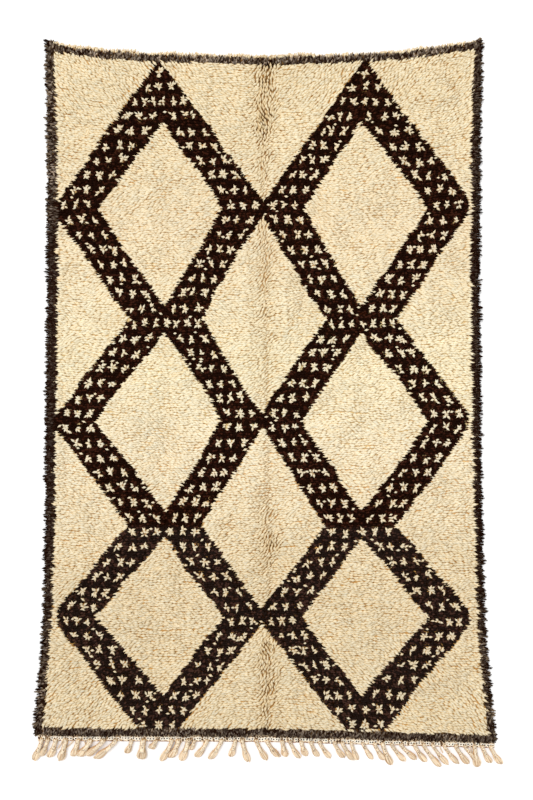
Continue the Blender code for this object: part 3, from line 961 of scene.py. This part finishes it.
CLEARANCE = 0.3 * MM
STRIP_WIDTH = 18 * MM
STRIP_ENDS = (-0.824, 0.840)
STRIP_LOW, STRIP_HIGH = 0.4 * MM, 2.2 * MM
STRIP_MAP = (0.0, 0.5, 1.0, 0.6)  # its four long edges across the map
STRIP_SAMPLES = 120

# The locks, one by one from the left: root x, how far the tip leans, reach, size.
LOCKS = (
    (-0.809, -0.028, 0.073, 1.05), (-0.788, -0.024, 0.057, 1.05), (-0.758, -0.023, 0.060, 1.15),
    (-0.722, -0.021, 0.073, 1.20), (-0.677, -0.019, 0.056, 1.15), (-0.633, -0.040, 0.056, 1.30),
    (-0.586, -0.062, 0.053, 1.30), (-0.541, -0.073, 0.064, 1.25), (-0.482, -0.019, 0.045, 1.05),
    (-0.440, -0.008, 0.066, 1.45), (-0.395, -0.017, 0.027, 1.10), (-0.336, -0.037, 0.072, 1.15),
    (-0.312, -0.028, 0.060, 1.20), (-0.276, -0.026, 0.070, 1.20), (-0.253, -0.017, 0.030, 0.95),
    (-0.208, -0.038, 0.058, 1.15), (-0.156, -0.041, 0.065, 1.10), (-0.105, -0.016, 0.056, 1.05),
    (-0.079, 0.022, 0.074, 1.05), (-0.027, 0.036, 0.068, 1.05), (0.011, 0.042, 0.056, 1.00),
    (0.067, 0.012, 0.054, 1.00), (0.095, 0.034, 0.059, 1.00), (0.136, 0.017, 0.050, 0.95),
    (0.171, 0.024, 0.051, 0.95), (0.203, 0.039, 0.056, 1.00), (0.257, 0.033, 0.053, 1.00),
    (0.286, 0.038, 0.060, 1.00), (0.319, 0.021, 0.059, 0.95), (0.361, 0.033, 0.055, 0.95),
    (0.403, 0.033, 0.057, 1.00), (0.432, 0.031, 0.073, 1.05), (0.465, 0.048, 0.060, 1.00),
    (0.499, 0.056, 0.053, 1.00), (0.549, 0.041, 0.060, 1.00), (0.582, 0.060, 0.077, 1.05),
    (0.616, 0.054, 0.068, 1.00), (0.657, 0.050, 0.064, 1.00), (0.699, 0.044, 0.063, 1.00),
    (0.733, 0.054, 0.061, 1.00), (0.766, 0.012, 0.072, 1.05), (0.795, 0.029, 0.057, 0.95),
    (0.826, 0.038, 0.060, 1.00),
)
# Thin yarns loose between the locks: root x, how far the tip leans, reach, size.
LOOSE_YARNS = (
    (-0.733, -0.020, 0.032, 1.0), (-0.694, -0.030, 0.031, 1.0), (-0.655, 0.012, 0.030, 1.0),
    (-0.620, -0.030, 0.028, 1.0), (-0.322, 0.010, 0.026, 1.0), (-0.300, -0.016, 0.030, 1.0),
    (-0.222, 0.008, 0.024, 1.0), (0.640, 0.012, 0.026, 1.0), (0.752, 0.014, 0.042, 1.0),
)
LOOSE_RADIUS = 1.9 * MM
LOOSE_RINGS = 9
FRINGE_SEED = 11
LEAN_CURVE = 1.15  # locks curve away from their roots

STITCH_PITCH = 10.0 * MM
STITCH_ROWS = (3.5 * MM, 10.0 * MM, 16.5 * MM)  # below the strip's upper edge
STITCH_HALF = (5.2 * MM, 3.2 * MM, 2.4 * MM)  # half a stitch's length, width and height
STITCH_Z = 3.0 * MM
STITCH_STRAY = (2.2, 1.6)  # in millimetres
STITCH_TURN, STITCH_TURN_OWN = math.radians(32), 0.6
STITCH_SIZES = (0.75, 1.2)
STITCH_SHADES = (0.85, 1.05)
SOILED_STITCHES = 0.12
LOOP_DOTS = 0.75  # share of the middle row's stitches with a dark dot
DOT_SHARE = 0.22  # and of the other rows'
DOT_HALF = (3.0 * MM, 2.3 * MM, 1.3 * MM)
DOT_Z = 4.4 * MM
LOOP_ROW, LOOP_SHARE = 1, 0.8  # the middle row, and how many of its stitches are open loops
LOOP_RADIUS, LOOP_YARN_RADIUS = 4.7 * MM, 2.3 * MM
LOOP_Z = 3.4 * MM
LOOP_RINGS, LOOP_SIDES = 10, 5
LINE_BELOW = 19.5 * MM  # a brown weft closes the strip this far below its upper edge
LINE_RADIUS = 1.1 * MM
LINE_SAMPLES = 3 * STRIP_SAMPLES
LINE_WAVER, LINE_WAVER_SPAN = 0.8 * MM, 0.012
LINE_SPREAD, LINE_SPREAD_SPAN = 0.3, 0.01  # how much its radius differs
LINE_YARN = (0.30, 0.13, 0.06)
BEAD_SIDES = 6
BEAD_RINGS = (-0.7, 0.0, 0.7)  # places along half of it
BEAD_MAP = 0.4  # half its reach on the map

LOCK_LIFT = 0.4 * MM  # locks lie this far off the floor
LOCK_FROM = -0.10  # where their yarns start in the strip, as a share of their reach
YARN_SHADES = (0.85, 1.0)
END_TAPER = 0.5  # a yarn's last ring
NECK_END = 0.56  # where a lock's plied neck ends, as a share of its reach
KNOT_PLACE = 0.60
PLIES = 3
PLY_RINGS = 26
PLY_SIDES = 5
PLY_RADIUS = 3.9 * MM
PLY_OFFSET = 3.8 * MM
PLY_PITCH = 17 * MM
TURN_RADIUS = 4.2 * MM  # of a knot's wraps
WRAP_RADIUS = 2.4 * MM
WRAP_RINGS, WRAP_SIDES = 12, 5
WRAP_TILTS, WRAP_TILT_OWN = (-0.45, 0.45), 0.15
WRAP_FLAT = 0.8
WRAPS_APART = 1.2 * MM  # from the knot's middle
# A lock's loose end swells to a drop: share of the lock's reach, half its width.
DROP = ((0.38, 4.6 * MM), (0.50, 7.0 * MM), (0.64, 9.6 * MM), (0.78, 10.8 * MM),
        (0.88, 9.6 * MM), (0.95, 6.6 * MM), (1.00, 2.2 * MM))
DROP_SIDES = 8
DROP_FLAT = 0.48  # its height, as a share of its width
BRUSH_STRANDS = 13
BRUSH_PLACES = (0.2, 0.8)  # in each strand's share of the drop's width
BRUSH_BOWS = (0.80, 1.22)
BRUSH_SHADES = (0.88, 1.06)  # from neck to tip
BRUSH_LIFT = 0.6 * MM
SHADED_SHARE = 0.18  # strands of a lock painted darker, as shade between strands
BRUSH_SIDES = 4
BRUSH_RADIUS = 1.5 * MM
BRUSH_LONG = (0.86, 1.08)
PLY_SHADES = (0.66, 1.06)
STRAND_SHADES_OWN = (0.76, 1.10)
LOCK_SIZES = (0.92, 1.06)

WARP_YARN = (0.88, 0.74, 0.55)
# Darker warp: painted shade under and between a lock's strands, and soiled stitches.
WARP_SOIL_AND_PAINTED_SHADE_YARN = (0.62, 0.45, 0.29)
# Painted shade: the strip under the stitches is dark brown, as shade between them.
STRIP_PAINTED_SHADE_YARN = (0.16, 0.09, 0.05)
DOT_YARN = (0.035, 0.014, 0.007)
LOOP_YARN = (0.97, 0.90, 0.77)
SPECKS, SPECK_YARN = 8, (0.20, 0.10, 0.05)
SPECK_FROM = -0.05  # share of the lock's reach
SPECK_HEIGHT = 1.7 * PLY_OFFSET + 2 * PLY_RADIUS
SPECK_SIZES, SPECK_SHADES = (0.6, 1.1), (0.6, 1.6)
SPECK_HALF = (2.2 * MM, 1.3 * MM, 1.0 * MM)


def strip_edge(x):
    """The strip's upper edge, beside the pile."""
    return fringed_edge(x) - CLEARANCE


def lock_path(plan, shares, height):
    """Places along a lock, and how high its middle lies there."""
    root_x, lean, reach, _ = plan
    past = np.maximum(shares, 0.0)
    x = root_x + lean * past**LEAN_CURVE
    y = strip_edge(root_x) - STRIP_WIDTH - reach * shares
    return np.stack((x, y, np.broadcast_to(height, x.shape)), axis=1)


def add_ply(shapes, plan, size, turn, chance):
    shares = np.linspace(LOCK_FROM, NECK_END, PLY_RINGS)
    radius = PLY_RADIUS * size
    path = lock_path(plan, shares, radius + PLY_OFFSET * size)
    angle = math.tau * shares * plan[2] / PLY_PITCH + turn
    path[:, 0] += PLY_OFFSET * size * np.cos(angle)
    path[:, 2] += PLY_OFFSET * size * np.sin(angle)
    points, faces, places, which = tube(path, np.full(PLY_RINGS, radius), PLY_SIDES)
    shades = np.array([chance.uniform(*PLY_SHADES) for _ in range(PLY_RINGS)])[which]
    shapes.add(points, faces, np.array(WARP_YARN) * shades[:, None], places)


def add_wraps(shapes, plan, size, chance):
    """A lock's knot: two turns of its yarn, crossing."""
    centre = lock_path(plan, np.array([KNOT_PLACE]), TURN_RADIUS * size + LOCK_LIFT)[0]
    around = math.tau * np.arange(WRAP_RINGS + 1) / WRAP_RINGS
    for tilt in WRAP_TILTS:
        tilt = tilt + chance.uniform(-WRAP_TILT_OWN, WRAP_TILT_OWN)
        across = TURN_RADIUS * size * np.cos(around)
        rise = TURN_RADIUS * WRAP_FLAT * size * np.sin(around)
        path = np.stack((across, across * math.sin(tilt), rise), axis=1)
        path[:, 1] += WRAPS_APART * math.copysign(1, tilt)
        radii = np.full(len(path), WRAP_RADIUS * size)
        points, faces, places, _ = tube(path + centre, radii, WRAP_SIDES, axis=(0.0, 1.0, 0.0))
        shapes.add(points, faces, np.array(WARP_YARN) * chance.uniform(*YARN_SHADES), places)


def add_brush(shapes, plan, size, chance):
    """The loose end of a lock: a drop of wool with its strands lying along it."""
    shares = column_of(DROP, 0)
    widths = column_of(DROP, 1) * size
    rise = widths * DROP_FLAT
    path = lock_path(plan, shares, rise + LOCK_LIFT)
    points, faces, places, _ = tube(path, widths, DROP_SIDES, DROP_FLAT)
    # The drop under the strands is painted shade.
    shapes.add(points, faces, np.array(WARP_SOIL_AND_PAINTED_SHADE_YARN), places)
    for number in range(BRUSH_STRANDS):
        around = math.pi * (number + chance.uniform(*BRUSH_PLACES)) / BRUSH_STRANDS
        own = shares[0] + (shares - shares[0]) * chance.uniform(*BRUSH_LONG)
        bow = chance.uniform(*BRUSH_BOWS)
        strand = lock_path(plan, own, rise + BRUSH_LIFT + rise * math.sin(around))
        strand[:, 0] += widths * bow * math.cos(around)
        radii = np.full(len(own), BRUSH_RADIUS * size)
        radii[-1] *= END_TAPER
        points, faces, places, which = tube(strand, radii, BRUSH_SIDES)
        shade = np.linspace(*BRUSH_SHADES, len(own))[which][:, None]
        yarn = WARP_SOIL_AND_PAINTED_SHADE_YARN if chance.random() < SHADED_SHARE else WARP_YARN
        colours = np.array(yarn) * chance.uniform(*STRAND_SHADES_OWN) * shade
        shapes.add(points, faces, colours, places)


def add_loose_yarn(shapes, plan, chance):
    shares = np.linspace(LOCK_FROM, 1.0, LOOSE_RINGS)
    path = lock_path(plan, shares, 2 * LOOSE_RADIUS)
    radii = np.full(LOOSE_RINGS, LOOSE_RADIUS)
    radii[-1] *= END_TAPER
    points, faces, places, _ = tube(path, radii, BRUSH_SIDES)
    shapes.add(points, faces, np.array(WARP_YARN) * chance.uniform(*YARN_SHADES), places)


def add_specks(shapes, plan, size, chance):
    """Ends of brown weft caught in a lock."""
    for _ in range(SPECKS):
        share = np.array([chance.uniform(SPECK_FROM, NECK_END)])
        centre = lock_path(plan, share, SPECK_HEIGHT * size)[0]
        centre[0] += chance.uniform(-PLY_RADIUS, PLY_RADIUS)
        turn = chance.uniform(0, math.pi)
        half = np.array(SPECK_HALF) * chance.uniform(*SPECK_SIZES)
        points, faces, places = bead(centre, turn, half)
        shapes.add(points, faces, np.array(SPECK_YARN) * chance.uniform(*SPECK_SHADES), places)


def fringe_locks(wool):
    shapes = Shapes()
    chance = random.Random(FRINGE_SEED + 1)
    for plan in LOCKS:
        size = plan[3] * chance.uniform(*LOCK_SIZES)
        turn = chance.uniform(0, math.tau)
        for number in range(PLIES):
            add_ply(shapes, plan, size, turn + math.tau * number / PLIES, chance)
        add_wraps(shapes, plan, size, chance)
        add_specks(shapes, plan, size, chance)
        add_brush(shapes, plan, size, chance)
    for plan in LOOSE_YARNS:
        add_loose_yarn(shapes, plan, chance)
    return add_piece("fringe_locks", shapes.mesh("fringe_locks"), wool, ["fringe"])


def bead(centre, turn, half):
    """A stitch of yarn seen from above: a long round grain."""
    angles = math.tau * np.arange(BEAD_SIDES) / BEAD_SIDES
    rings = []
    for share in BEAD_RINGS:
        round_share = math.sqrt(1 - share * share)
        along = np.full(BEAD_SIDES, share * half[0])
        across = round_share * half[1] * np.cos(angles)
        rise = round_share * half[2] * np.sin(angles)
        rings.append(np.stack((along, across, rise), axis=1))
    ends = np.array(((-half[0], 0, 0), (half[0], 0, 0)))
    points = np.concatenate(rings + [ends])
    turned = points.copy()
    turned[:, 0] = points[:, 0] * math.cos(turn) - points[:, 1] * math.sin(turn)
    turned[:, 1] = points[:, 0] * math.sin(turn) + points[:, 1] * math.cos(turn)
    here = np.arange(len(rings) * BEAD_SIDES).reshape(len(rings), BEAD_SIDES)
    beside = np.roll(here, -1, axis=1)
    faces = []
    for ring in range(len(rings) - 1):
        faces.append(np.stack((here[ring], beside[ring], beside[ring + 1]), 1))
        faces.append(np.stack((here[ring], beside[ring + 1], here[ring + 1]), 1))
    first, last = here.size, here.size + 1
    faces.append(np.stack((np.full(BEAD_SIDES, first), beside[0], here[0]), 1))
    faces.append(np.stack((np.full(BEAD_SIDES, last), here[-1], beside[-1]), 1))
    places = 0.5 + BEAD_MAP * points[:, :2] / half[:2]
    return turned + np.array(centre), np.concatenate(faces), places


def loop(centre):
    """A stitch of yarn that closes on itself."""
    around = math.tau * np.arange(LOOP_RINGS + 1) / LOOP_RINGS
    path = np.stack((np.cos(around), np.sin(around), np.zeros(len(around))), axis=1)
    path = path * LOOP_RADIUS + np.array(centre)
    radii = np.full(len(path), LOOP_YARN_RADIUS)
    points, faces, places, _ = tube(path, radii, LOOP_SIDES)
    return points, faces, places


def closing_line():
    """The brown weft at the strip's lower edge."""
    x = np.linspace(*STRIP_ENDS, LINE_SAMPLES)
    y = strip_edge(x) - LINE_BELOW + LINE_WAVER * patches(x, x, LINE_WAVER_SPAN, LINE_LAYER)
    path = np.stack((x, y, np.full(len(x), STITCH_Z)), axis=1)
    radii = LINE_RADIUS * (1 + LINE_SPREAD * patches(x, x, LINE_SPREAD_SPAN, LINE_WIDTH_LAYER))
    points, faces, places, _ = tube(path, radii, LOOP_SIDES)
    return points, faces, np.array(LINE_YARN), places


def add_stitch(shapes, row, x, y, chance):
    """One stitch, as a bead or an open loop, and often a dark dot beside it."""
    turn = STITCH_TURN * (1 if row % 2 else -1) + chance.uniform(-STITCH_TURN_OWN, STITCH_TURN_OWN)
    half = np.array(STITCH_HALF) * chance.uniform(*STITCH_SIZES)
    looped = row == LOOP_ROW and chance.random() < LOOP_SHARE
    if looped:
        points, faces, places = loop((x, y, LOOP_Z))
    else:
        points, faces, places = bead((x, y, STITCH_Z), turn, half)
    yarn = WARP_SOIL_AND_PAINTED_SHADE_YARN if chance.random() < SOILED_STITCHES else WARP_YARN
    yarn = LOOP_YARN if looped else yarn
    shapes.add(points, faces, np.array(yarn) * chance.uniform(*STITCH_SHADES), places)
    if chance.random() < (LOOP_DOTS if row == LOOP_ROW else DOT_SHARE):
        dot_x = x + STITCH_PITCH / 2 * (row != LOOP_ROW) + chance.uniform(-1, 1) * MM
        dot_y = y + chance.uniform(-1, 1) * MM
        points, faces, places = bead((dot_x, dot_y, DOT_Z), turn, np.array(DOT_HALF))
        shapes.add(points, faces, np.array(DOT_YARN), places)


def end_stitches(wool):
    """Rows of twined stitches along the woven end."""
    shapes = Shapes()
    chance = random.Random(FRINGE_SEED + 2)
    stray_x, stray_y = STITCH_STRAY
    count = int((STRIP_ENDS[1] - STRIP_ENDS[0]) / STITCH_PITCH)
    for row, below in enumerate(STITCH_ROWS):
        for number in range(count):
            x = STRIP_ENDS[0] + (number + 0.5 + 0.5 * (row % 2)) * STITCH_PITCH
            x += chance.uniform(-stray_x, stray_x) * MM
            y = float(strip_edge(x)) - below + chance.uniform(-stray_y, stray_y) * MM
            add_stitch(shapes, row, x, y, chance)
    shapes.add(*closing_line())
    return add_piece("end_stitches", shapes.mesh("end_stitches"), wool, ["fringe"])


def strip_mesh():
    """The woven end itself, a thin band under its stitches, painted dark brown as shade between them."""
    x = np.linspace(*STRIP_ENDS, STRIP_SAMPLES)
    near, far = strip_edge(x), strip_edge(x) - STRIP_WIDTH
    rows = []
    for z in (STRIP_LOW, STRIP_HIGH):
        for edge in (near, far):
            rows.append(np.stack((x, edge, np.full(len(x), z)), axis=1))
    points = np.concatenate(rows)
    corner = np.arange(4 * STRIP_SAMPLES).reshape(4, STRIP_SAMPLES)
    faces = []
    for first, second in ((0, 1), (3, 2), (2, 0), (1, 3)):
        a, b = corner[first, :-1], corner[first, 1:]
        c, d = corner[second, 1:], corner[second, :-1]
        faces.append(np.stack((a, b, c), 1))
        faces.append(np.stack((a, c, d), 1))
    for end in (0, -1):
        ring = corner[(0, 1, 3, 2), end]
        ring = ring[::-1] if end == 0 else ring
        faces.append(np.array(((ring[0], ring[1], ring[2]), (ring[0], ring[2], ring[3]))))
    share = np.tile(np.linspace(0, 1, STRIP_SAMPLES), 4)
    edge = np.repeat(STRIP_MAP, STRIP_SAMPLES)
    colours = np.broadcast_to(STRIP_PAINTED_SHADE_YARN, (len(points), 3))
    uv = np.stack((share, edge), axis=1)
    return joined_mesh("woven_end", points, np.concatenate(faces), colours, uv)


# ---------------------------------------------------------------- materials

# Painted shade: wool is darker and warmer on its flanks, where it sees other wool: how level it lies, and
# its shade.
FLANK_FACING = (0.05, 0.70)
FLANK_PAINTED_SHADE = (0.92, 0.65, 0.32)


def set_inputs(node, **values):
    """Sets a node's inputs; a _ in a name stands for a space."""
    for name, value in values.items():
        node.inputs[name.replace("_", " ")].default_value = value
    return node


def wool_material(name, sheen, specular):
    """Wool that takes its dye, painted shade and all, from each strand, with finer fibres in its colour
    and bump, and painted shade on its flanks.
    """
    material = bpy.data.materials.new(name)
    material.use_nodes = True
    nodes, links = material.node_tree.nodes, material.node_tree.links
    shader = nodes["Principled BSDF"]
    set_inputs(shader, Roughness=0.92, Specular_IOR_Level=specular)
    set_inputs(shader, Sheen_Weight=sheen, Sheen_Roughness=0.5)
    dye = nodes.new("ShaderNodeAttribute")
    dye.attribute_name = "yarn"
    place = nodes.new("ShaderNodeTexCoord")
    fibres = set_inputs(nodes.new("ShaderNodeTexNoise"), Scale=700.0, Detail=3.0)
    shade = set_inputs(nodes.new("ShaderNodeMapRange"), From_Min=0.3, From_Max=0.7)
    set_inputs(shade, To_Min=0.93, To_Max=1.05)
    dyed = nodes.new("ShaderNodeVectorMath")
    dyed.operation = "SCALE"
    surface = nodes.new("ShaderNodeNewGeometry")
    # Painted shade: steeper faces are darker and warmer.
    facing = nodes.new("ShaderNodeSeparateXYZ")
    flank = nodes.new("ShaderNodeMapRange")
    flank.interpolation_type = "SMOOTHSTEP"
    set_inputs(flank, From_Min=FLANK_FACING[0], From_Max=FLANK_FACING[1], To_Min=1.0, To_Max=0.0)
    painted_flank_shade = nodes.new("ShaderNodeMix")
    painted_flank_shade.data_type = "RGBA"
    painted_flank_shade.blend_type = "MULTIPLY"
    set_inputs(painted_flank_shade, B=(*FLANK_PAINTED_SHADE, 1.0))
    bump = set_inputs(nodes.new("ShaderNodeBump"), Strength=0.35, Distance=0.0006)
    links.new(place.outputs["Object"], fibres.inputs["Vector"])
    links.new(fibres.outputs["Fac"], shade.inputs["Value"])
    links.new(dye.outputs["Color"], dyed.inputs[0])
    links.new(shade.outputs["Result"], dyed.inputs["Scale"])
    links.new(surface.outputs["Normal"], facing.inputs["Vector"])
    links.new(facing.outputs["Z"], flank.inputs["Value"])
    links.new(flank.outputs["Result"], painted_flank_shade.inputs["Factor"])
    links.new(dyed.outputs["Vector"], painted_flank_shade.inputs["A"])
    links.new(painted_flank_shade.outputs["Result"], shader.inputs["Base Color"])
    links.new(fibres.outputs["Fac"], bump.inputs["Height"])
    links.new(bump.outputs["Normal"], shader.inputs["Normal"])
    return material


def floor_material():
    material = bpy.data.materials.new("floor_white")
    material.use_nodes = True
    shader = material.node_tree.nodes["Principled BSDF"]
    set_inputs(shader, Base_Color=(0.93, 0.93, 0.93, 1.0), Roughness=0.9, Specular_IOR_Level=0.1)
    return material


# ---------------------------------------------------------------- stage, light and camera

TIP_PLANE = 10 * MM  # where the photograph's scale is taken
CAMERA_ABOVE = 2.7  # from the tips
CAMERA_X, CAMERA_Y = 0.0091, -0.0145
FRAME_HEIGHT = 2.909  # metres at the tips from the picture's top to its bottom
SKY = 0.95
SUN = 1.5
SUN_SIZE = math.radians(35)
SUN_TILT = (math.radians(-30), math.radians(-22), 0)
FLOOR_SIZE = 14


def add_floor():
    bpy.ops.mesh.primitive_plane_add(size=FLOOR_SIZE)
    floor = bpy.context.object
    floor.name = "floor"
    floor.data.materials.append(floor_material())


def add_light():
    world = bpy.data.worlds.new("studio")
    bpy.context.scene.world = world
    world.use_nodes = True
    background = world.node_tree.nodes["Background"]
    background.inputs["Color"].default_value = (1.0, 1.0, 1.0, 1.0)
    background.inputs["Strength"].default_value = SKY
    lamp = bpy.data.lights.new("sun", "SUN")
    lamp.energy = SUN
    lamp.angle = SUN_SIZE
    light = bpy.data.objects.new("sun", lamp)
    light.rotation_euler = SUN_TILT
    bpy.context.scene.collection.objects.link(light)
    bpy.context.scene.view_settings.view_transform = "Standard"


def add_camera():
    lens = bpy.data.cameras.new("camera")
    lens.sensor_fit = "VERTICAL"
    lens.angle = 2 * math.atan(FRAME_HEIGHT / 2 / CAMERA_ABOVE)
    camera = bpy.data.objects.new("camera", lens)
    camera.location = (CAMERA_X, CAMERA_Y, TIP_PLANE + CAMERA_ABOVE)
    bpy.context.scene.collection.objects.link(camera)
    bpy.context.scene.camera = camera


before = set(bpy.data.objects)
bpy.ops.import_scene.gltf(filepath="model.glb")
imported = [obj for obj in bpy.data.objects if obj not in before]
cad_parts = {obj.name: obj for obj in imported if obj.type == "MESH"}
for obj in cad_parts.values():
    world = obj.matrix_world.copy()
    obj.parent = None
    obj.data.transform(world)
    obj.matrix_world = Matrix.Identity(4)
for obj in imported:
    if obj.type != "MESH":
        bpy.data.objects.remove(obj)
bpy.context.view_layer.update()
add_camera()
add_light()
add_floor()
cream_wool = wool_material("cream_wool", sheen=0.04, specular=0.05)
dark_wool = wool_material("dark_wool", sheen=0.0, specular=0.0)
tree = solid_tree(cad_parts["rug"])
pile = pile_pieces(tree, cream_wool, dark_wool)
rim = rim_spikes(dark_wool)
lower_wool = wool_material("lower_wool", sheen=0.0, specular=0.0)
bed = add_piece("pile_bed", bed_mesh(tree), lower_wool, ["rug"])
ground = add_piece("ground", ground_mesh(), cream_wool, ["rug"])
warp_wool = wool_material("warp_wool", sheen=0.0, specular=0.0)
woven_end = add_piece("woven_end", strip_mesh(), warp_wool, ["fringe"])
stitches = end_stitches(warp_wool)
locks = fringe_locks(warp_wool)
